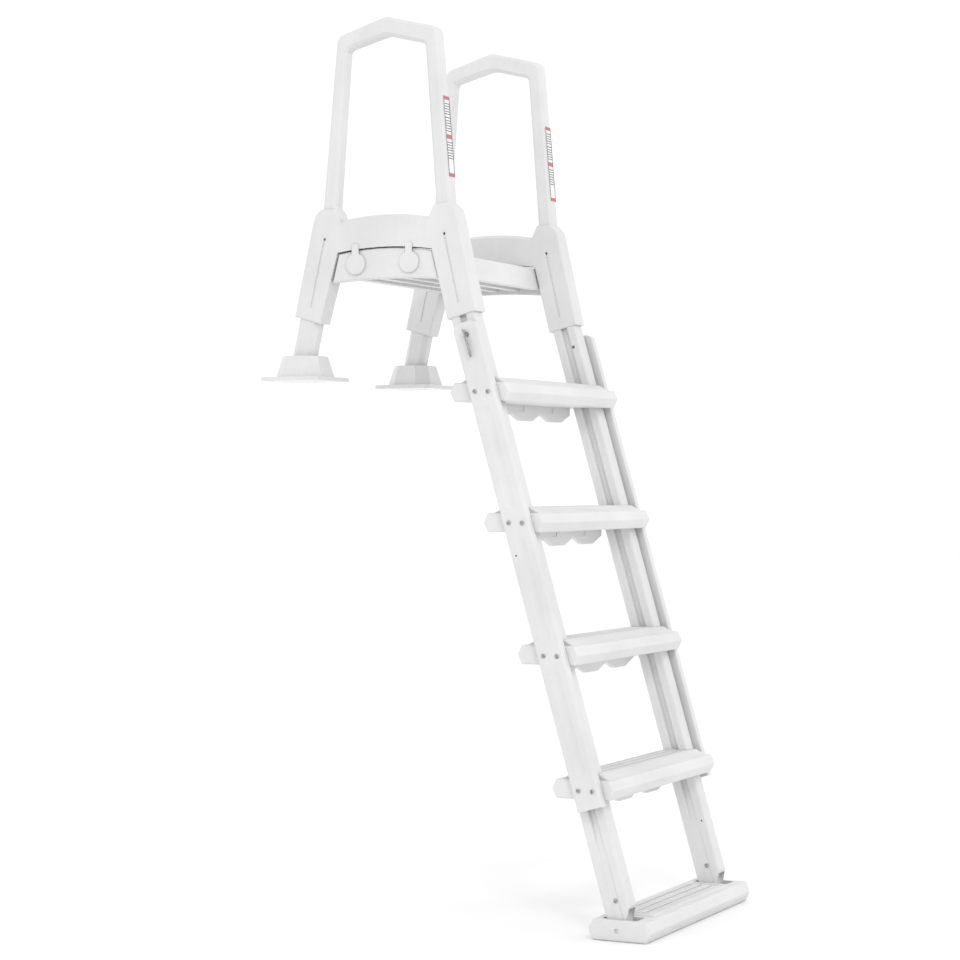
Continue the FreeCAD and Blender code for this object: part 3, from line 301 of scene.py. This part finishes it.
def rounded_bar(bm, x, centre_y, low, high, top_z):
    """Half-round ridge along Y, from low to high about centre_y, on a surface of height top_z(y)."""
    end_run = min(RIB_END_RUN, (high - low) / 4)
    rings = []
    for y, rise in ((low, 0.0), (low + end_run, 1.0), (high - end_run, 1.0), (high, 0.0)):
        ring = []
        for step in range(RIB_STEPS + 1):
            angle = math.pi * step / RIB_STEPS
            side = x - math.cos(angle) * RIB_WIDTH / 2
            ring.append(bm.verts.new((side, centre_y + y, top_z(y) + math.sin(angle) * RIB_HEIGHT * rise)))
        rings.append(ring)
    for first, second in zip(rings, rings[1:]):
        for step in range(RIB_STEPS):
            bm.faces.new((first[step], first[step + 1], second[step + 1], second[step]))


def rib_field(name, centre_y, top_z, reach, bands, body):
    """Fine grip ribs across a walking surface, in bands between its long grooves."""
    bm = bmesh.new()
    count = int(2 * reach / RIB_PITCH)
    for index in range(count + 1):
        x = (index - count / 2) * RIB_PITCH
        for low, high in bands:
            rounded_bar(bm, x, centre_y, low, high, top_z)
    bmesh.ops.recalc_face_normals(bm, faces=bm.faces)
    mesh = bpy.data.meshes.new(name)
    bm.to_mesh(mesh)
    bm.free()
    for face in mesh.polygons:
        face.use_smooth = True
    return add_piece(name, mesh, TREAD_PLASTIC, body)


def grip_bands(half_y, pitch):
    """Y spans of a tread's walking surface between its three long grooves."""
    gap = GRIP_GROOVE_HALF + GROOVE_MARGIN
    edges = [-half_y + RIB_END_MARGIN]
    for row in (-1, 0, 1):
        groove = row * pitch + GRIP_SHIFT
        edges += [groove - gap, groove + gap]
    edges.append(half_y - RIB_END_MARGIN)
    spans = list(zip(edges[0::2], edges[1::2]))
    return [(low, high) for low, high in spans if high - low > LEAST_BAND]


def platform_bands():
    """Y spans of the platform between its grooves."""
    gap = PLATFORM_GROOVE_HALF + PLATFORM_GROOVE_MARGIN
    rows = [(row - (PLATFORM_GRIP_ROWS - 1) / 2) * PLATFORM_GRIP_PITCH for row in range(PLATFORM_GRIP_ROWS)]
    return [(low + gap, high - gap) for low, high in zip(rows, rows[1:])]


def ring(name, centre, axis_side, radius, body, slot, material):
    """Flat moulded ring on an outer face, round a hole."""
    bm = bmesh.new()
    loops = []
    for index in range(RING_STEPS):
        angle = 2 * math.pi * index / RING_STEPS
        loop = []
        for offset, proud in RING_PROFILE:
            r = radius + offset
            loop.append(bm.verts.new((centre.x + axis_side * proud, centre.y + r * math.cos(angle),
                                      centre.z + r * math.sin(angle))))
        loops.append(loop)
    for index in range(RING_STEPS):
        first, second = loops[index], loops[(index + 1) % RING_STEPS]
        for step in range(len(RING_PROFILE) - 1):
            bm.faces.new((first[step], first[step + 1], second[step + 1], second[step]))
    bmesh.ops.recalc_face_normals(bm, faces=bm.faces)
    mesh = bpy.data.meshes.new(name)
    bm.to_mesh(mesh)
    bm.free()
    return add_piece(name, mesh, material, body)


def label_marks(side_name):
    """Plain bands printed on a decal, without lettering."""
    node = "safety_label_" + side_name
    low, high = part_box(node)
    height = high.z - low.z
    lean = (high.y - LABEL_THICK - low.y) / height
    x0, x1 = low.x, high.x

    def face_y(z):
        return low.y + (z - low.z) * lean - INK_GAP

    def band(bm, x_low, x_high, from_top, to_top):
        z_high = high.z - from_top * height
        z_low = high.z - to_top * height
        corners = [(x_low, z_low), (x_high, z_low), (x_high, z_high), (x_low, z_high)]
        bm.faces.new([bm.verts.new((x, face_y(z), z)) for x, z in corners])

    grey = bmesh.new()
    band(grey, x0, x0 + LABEL_BORDER, 0.0, 1.0)
    band(grey, x1 - LABEL_BORDER, x1, 0.0, 1.0)
    band(grey, x0 + LABEL_BORDER, x1 - LABEL_BORDER, *LABEL_RULE)
    for start, stop, rows in LABEL_LINE_GROUPS:
        pitch = (stop - start) / rows
        for row in range(rows):
            top = start + row * pitch
            band(grey, x0 + LABEL_INSET, x1 - LABEL_INSET, top, top + pitch * LABEL_LINE_SHARE)
    red = bmesh.new()
    for start, stop in LABEL_RED_SPANS:
        band(red, x0 + LABEL_BORDER, x1 - LABEL_BORDER, start, stop)
    for bm, name, ink in ((grey, "label_lines_", GREY_INK), (red, "label_bands_", RED_INK)):
        bmesh.ops.recalc_face_normals(bm, faces=bm.faces)
        mesh = bpy.data.meshes.new(name + side_name)
        bm.to_mesh(mesh)
        bm.free()
        piece = add_piece(name + side_name, mesh, ink, "upper_frame")
        thick = piece.modifiers.new("film", "SOLIDIFY")
        thick.thickness = INK_THICK


# ---- the frame's own nodes ----
def dress_nodes():
    """Gives every carried-over node its procedural material and softened edges."""
    looks = {"frame_plastic": FRAME_PLASTIC, "tread_plastic": TREAD_PLASTIC, "deck_plastic": DECK_PLASTIC,
             "label_film": FILM, "stainless": STEEL}
    slots = {part["node"]: part["material_slot"] for part in frame["record"]["subparts"]}
    for name, node in frame["nodes"].items():
        for material_slot in node.material_slots:
            material_slot.material = looks[slots[name]]
        if slots[name] in ("frame_plastic", "tread_plastic", "deck_plastic"):
            bevel = node.modifiers.new("soft_edges", "BEVEL")
            bevel.width = EDGE_SOFTNESS
            bevel.segments = EDGE_SEGMENTS
            bevel.limit_method = "ANGLE"
            bevel.angle_limit = EDGE_ANGLE
            bevel.harden_normals = False
            bevel.use_clamp_overlap = True


def platform_top(high):
    """Height of the platform's crowned top at a distance from its middle."""
    half = (PLATFORM_CHORD / 2) ** 2
    radius = (half + PLATFORM_CROWN ** 2) / (2 * PLATFORM_CROWN)

    def top(y):
        return high.z - radius + math.sqrt(radius ** 2 - y ** 2) - 2 * RIB_SINK

    return top


def moulded_details():
    """Ribs, rings and printed marks that ride on the frame's bodies."""
    for name in TREADS:
        low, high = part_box(name)
        rib_field(name + "_ribs", (low.y + high.y) / 2, lambda y, z=high.z: z - RIB_SINK,
                  TREAD_GRIP_HALF_X, grip_bands(TREAD_GRIP_HALF_Y, TREAD_GRIP_PITCH), "tread_carriage")
    low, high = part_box("bottom_tread")
    rib_field("bottom_tread_ribs", (low.y + high.y) / 2, lambda y: BASE_PAD_TOP - RIB_SINK,
              BASE_GRIP_HALF_X, grip_bands(BASE_GRIP_HALF_Y, BASE_GRIP_PITCH), "stringer_set")
    low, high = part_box("top_platform")
    rib_field("top_platform_ribs", (low.y + high.y) / 2, platform_top(high), PLATFORM_GRIP_HALF_X,
              platform_bands(), "upper_frame")
    for side_name, side in SIDES.items():
        label_marks(side_name)
        for place, towards in (("front", -1), ("rear", 1)):
            for face, turn in (("outer", 1), ("inner", -1)):
                x = side * (RAIL_OUTER_X if turn > 0 else RAIL_OUTER_X - SLEEVE_WIDTH)
                centre = Vector((x, RAIL_MIDDLE_Y + towards * SLIT_TOP_Y, SLIT_TOP_Z))
                ring("slit_ring_%s_%s_%s" % (side_name, place, face), centre, side * turn, SLIT_RING_R,
                     "upper_frame", "frame_plastic", FRAME_PLASTIC)


# ---- studio ----
def studio():
    """Pale floor, soft light and a bright even surround."""
    bpy.ops.mesh.primitive_plane_add(size=FLOOR_SIZE, location=(0, 0, -FLOOR_DROP))
    floor = bpy.context.object
    floor.name = "studio_floor"
    floor.data.materials.append(studio_floor())

    world = bpy.data.worlds.new("studio")
    bpy.context.scene.world = world
    world.use_nodes = True
    background = world.node_tree.nodes["Background"]
    background.inputs["Color"].default_value = (1, 1, 1, 1)
    background.inputs["Strength"].default_value = SURROUND_STRENGTH

    for name, place, power in LIGHTS:
        data = bpy.data.lights.new(name, "AREA")
        data.size = LIGHT_SIZE
        data.energy = power
        lamp = bpy.data.objects.new(name, data)
        lamp.location = place
        aim = LIGHT_AIM - Vector(place)
        lamp.rotation_euler = aim.to_track_quat("-Z", "Y").to_euler()
        bpy.context.scene.collection.objects.link(lamp)


def camera():
    """Level camera to the left of the pool side, turned from +X towards +Y."""
    data = bpy.data.cameras.new("camera")
    data.lens = CAMERA_LENS
    data.sensor_width = 36
    data.clip_end = 100
    eye = bpy.data.objects.new("camera", data)
    eye.location = Vector((0, RAIL_MIDDLE_Y, 0)) + CAMERA_OFFSET
    aim = Vector((math.cos(CAMERA_TURN), math.sin(CAMERA_TURN), 0))
    eye.rotation_euler = aim.to_track_quat("-Z", "Y").to_euler()
    bpy.context.scene.collection.objects.link(eye)
    bpy.context.scene.camera = eye


dress_nodes()
moulded_details()
studio()
camera()
bpy.context.scene.view_settings.view_transform = "Standard"
